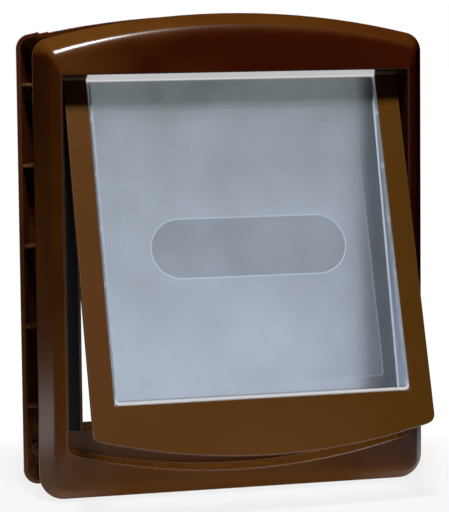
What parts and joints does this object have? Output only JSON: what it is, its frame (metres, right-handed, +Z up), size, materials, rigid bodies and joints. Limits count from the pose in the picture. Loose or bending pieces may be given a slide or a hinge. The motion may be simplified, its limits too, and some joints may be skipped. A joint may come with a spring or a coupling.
{
  "type": "pet door",
  "caption": "Pet door for a house door: two moulded frames that line the cut-out, a flap surround that swings outward and a clear window that also swings inward.",
  "frame": {"origin": "centre of the door's cut-out, in the plane of the door's outer face, where the outer frame seats", "axes": "+X to the right seen from outside, +Y through the door from outside to inside, +Z up"},
  "size_m": [0.294, 0.1812, 0.352],
  "materials": {
    "brown_shell": "moulded, semi-gloss",
    "clear_window": "clear, finely frosted",
    "black_brush": "dense pile",
    "steel_pin": "drawn",
    "zinc_screw": "bright zinc",
    "steel_strip": "rolled",
    "magnet_black": "ferrite, matt",
    "brown_cap": "moulded, semi-gloss"
  },
  "bodies": {
    "outer_frame": {"front_frame": "brown_shell", "stop_seal_left": "black_brush", "stop_seal_right": "black_brush", "sill_magnet": "magnet_black", "hinge_pin_left": "steel_pin", "hinge_pin_right": "steel_pin"},
    "inner_frame": {"back_frame": "brown_shell", "fixing_screw_top_left": "zinc_screw", "screw_cap_top_left": "brown_cap", "fixing_screw_top_right": "zinc_screw", "screw_cap_top_right": "brown_cap", "fixing_screw_foot_left": "zinc_screw", "screw_cap_foot_left": "brown_cap", "fixing_screw_foot_right": "zinc_screw", "screw_cap_foot_right": "brown_cap"},
    "surround": {"flap_surround": "brown_shell", "sill_strike_plate": "steel_strip", "window_strike_plate": "steel_strip"},
    "window": {"flap_window": "clear_window", "window_magnet": "magnet_black"}
  },
  "joints": [
    {"name": "frame_clamp", "type": "slide", "parent": "outer_frame", "child": "inner_frame", "axis": [0, -1, 0], "range_m": [0, 0.012]},
    {"name": "surround_swing", "type": "hinge", "parent": "outer_frame", "child": "surround", "pos_m": [0, -0.0056, 0.1275], "axis": [-1, 0, 0], "range_deg": [-19, 61]},
    {"name": "window_swing", "type": "hinge", "parent": "surround", "child": "window", "pos_m": [0, -0.0056, 0.1275], "axis": [-1, 0, 0], "range_deg": [-70, 0]}
  ]
}
